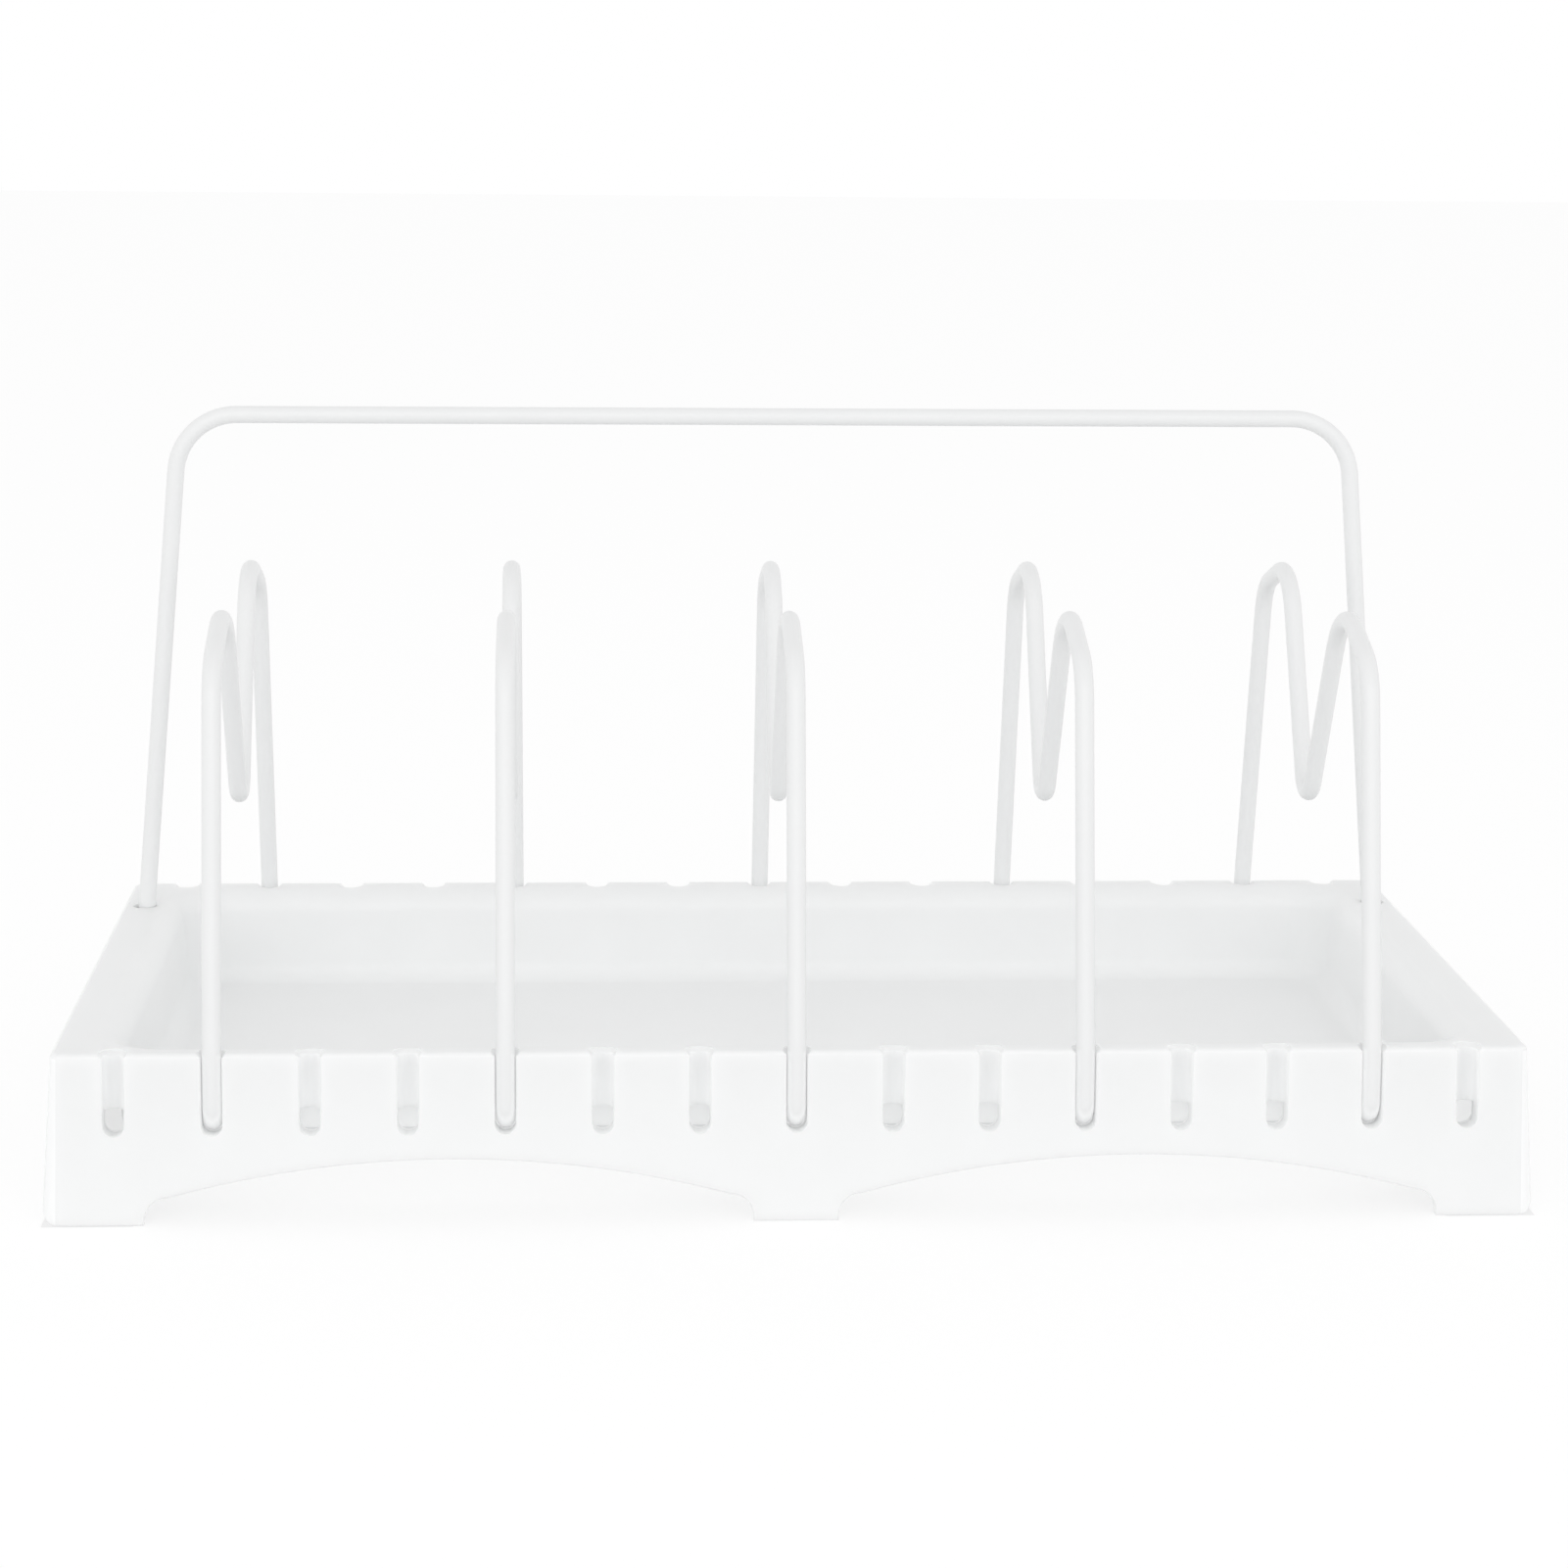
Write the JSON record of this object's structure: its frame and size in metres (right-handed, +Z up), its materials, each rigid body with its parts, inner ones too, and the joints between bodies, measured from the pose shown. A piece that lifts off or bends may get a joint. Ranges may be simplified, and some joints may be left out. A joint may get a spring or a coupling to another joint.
{
  "type": "pot lid organizer",
  "caption": "White rack for pot lids and plates: a shallow moulded tray with clip-in M-shaped wire dividers and a tall wire bow along the back.",
  "frame": {"origin": "middle of the footprint, on the surface that the feet stand on", "axes": "+X along the tray, to the right seen from the front; -Y is the front; +Z up"},
  "size_m": [0.3876, 0.2022, 0.1935],
  "materials": {
    "tray_plastic": "white moulded plastic, satin",
    "coated_wire": "white powder coat, satin"
  },
  "bodies": {
    "root": {"tray": "tray_plastic", "divider_1": "coated_wire", "divider_2": "coated_wire", "divider_3": "coated_wire", "divider_4": "coated_wire", "divider_5": "coated_wire"},
    "bow": {"bow": "coated_wire"},
    "divider_1_front_leg": {"divider_1_front_leg": "coated_wire"},
    "divider_1_back_leg": {"divider_1_back_leg": "coated_wire"},
    "divider_2_front_leg": {"divider_2_front_leg": "coated_wire"},
    "divider_2_back_leg": {"divider_2_back_leg": "coated_wire"},
    "divider_3_front_leg": {"divider_3_front_leg": "coated_wire"},
    "divider_3_back_leg": {"divider_3_back_leg": "coated_wire"},
    "divider_4_front_leg": {"divider_4_front_leg": "coated_wire"},
    "divider_4_back_leg": {"divider_4_back_leg": "coated_wire"},
    "divider_5_front_leg": {"divider_5_front_leg": "coated_wire"},
    "divider_5_back_leg": {"divider_5_back_leg": "coated_wire"}
  },
  "joints": [
    {"name": "bow_lift", "type": "slide", "parent": "root", "child": "bow", "axis": [0, 0, 1], "range_m": [0, 0.13]},
    {"name": "divider_1_front_unclip", "type": "hinge", "parent": "root", "child": "divider_1_front_leg", "pos_m": [-0.15, -0.08038, 0.12729], "axis": [-1, 0, 0], "range_deg": [0, 4], "stiffness_Nm_per_rad": 10, "springref_deg": -1.72},
    {"name": "divider_1_back_unclip", "type": "hinge", "parent": "root", "child": "divider_1_back_leg", "pos_m": [-0.15, 0.08038, 0.12729], "axis": [1, 0, 0], "range_deg": [0, 4], "stiffness_Nm_per_rad": 10, "springref_deg": -1.72},
    {"name": "divider_2_front_unclip", "type": "hinge", "parent": "root", "child": "divider_2_front_leg", "pos_m": [-0.075, -0.08038, 0.12729], "axis": [-1, 0, 0], "range_deg": [0, 4], "stiffness_Nm_per_rad": 10, "springref_deg": -1.72},
    {"name": "divider_2_back_unclip", "type": "hinge", "parent": "root", "child": "divider_2_back_leg", "pos_m": [-0.075, 0.08038, 0.12729], "axis": [1, 0, 0], "range_deg": [0, 4], "stiffness_Nm_per_rad": 10, "springref_deg": -1.72},
    {"name": "divider_3_front_unclip", "type": "hinge", "parent": "root", "child": "divider_3_front_leg", "pos_m": [0, -0.08038, 0.12729], "axis": [-1, 0, 0], "range_deg": [0, 4], "stiffness_Nm_per_rad": 10, "springref_deg": -1.72},
    {"name": "divider_3_back_unclip", "type": "hinge", "parent": "root", "child": "divider_3_back_leg", "pos_m": [0, 0.08038, 0.12729], "axis": [1, 0, 0], "range_deg": [0, 4], "stiffness_Nm_per_rad": 10, "springref_deg": -1.72},
    {"name": "divider_4_front_unclip", "type": "hinge", "parent": "root", "child": "divider_4_front_leg", "pos_m": [0.075, -0.08038, 0.12729], "axis": [-1, 0, 0], "range_deg": [0, 4], "stiffness_Nm_per_rad": 10, "springref_deg": -1.72},
    {"name": "divider_4_back_unclip", "type": "hinge", "parent": "root", "child": "divider_4_back_leg", "pos_m": [0.075, 0.08038, 0.12729], "axis": [1, 0, 0], "range_deg": [0, 4], "stiffness_Nm_per_rad": 10, "springref_deg": -1.72},
    {"name": "divider_5_front_unclip", "type": "hinge", "parent": "root", "child": "divider_5_front_leg", "pos_m": [0.15, -0.08038, 0.12729], "axis": [-1, 0, 0], "range_deg": [0, 4], "stiffness_Nm_per_rad": 10, "springref_deg": -1.72},
    {"name": "divider_5_back_unclip", "type": "hinge", "parent": "root", "child": "divider_5_back_leg", "pos_m": [0.15, 0.08038, 0.12729], "axis": [1, 0, 0], "range_deg": [0, 4], "stiffness_Nm_per_rad": 10, "springref_deg": -1.72}
  ]
}
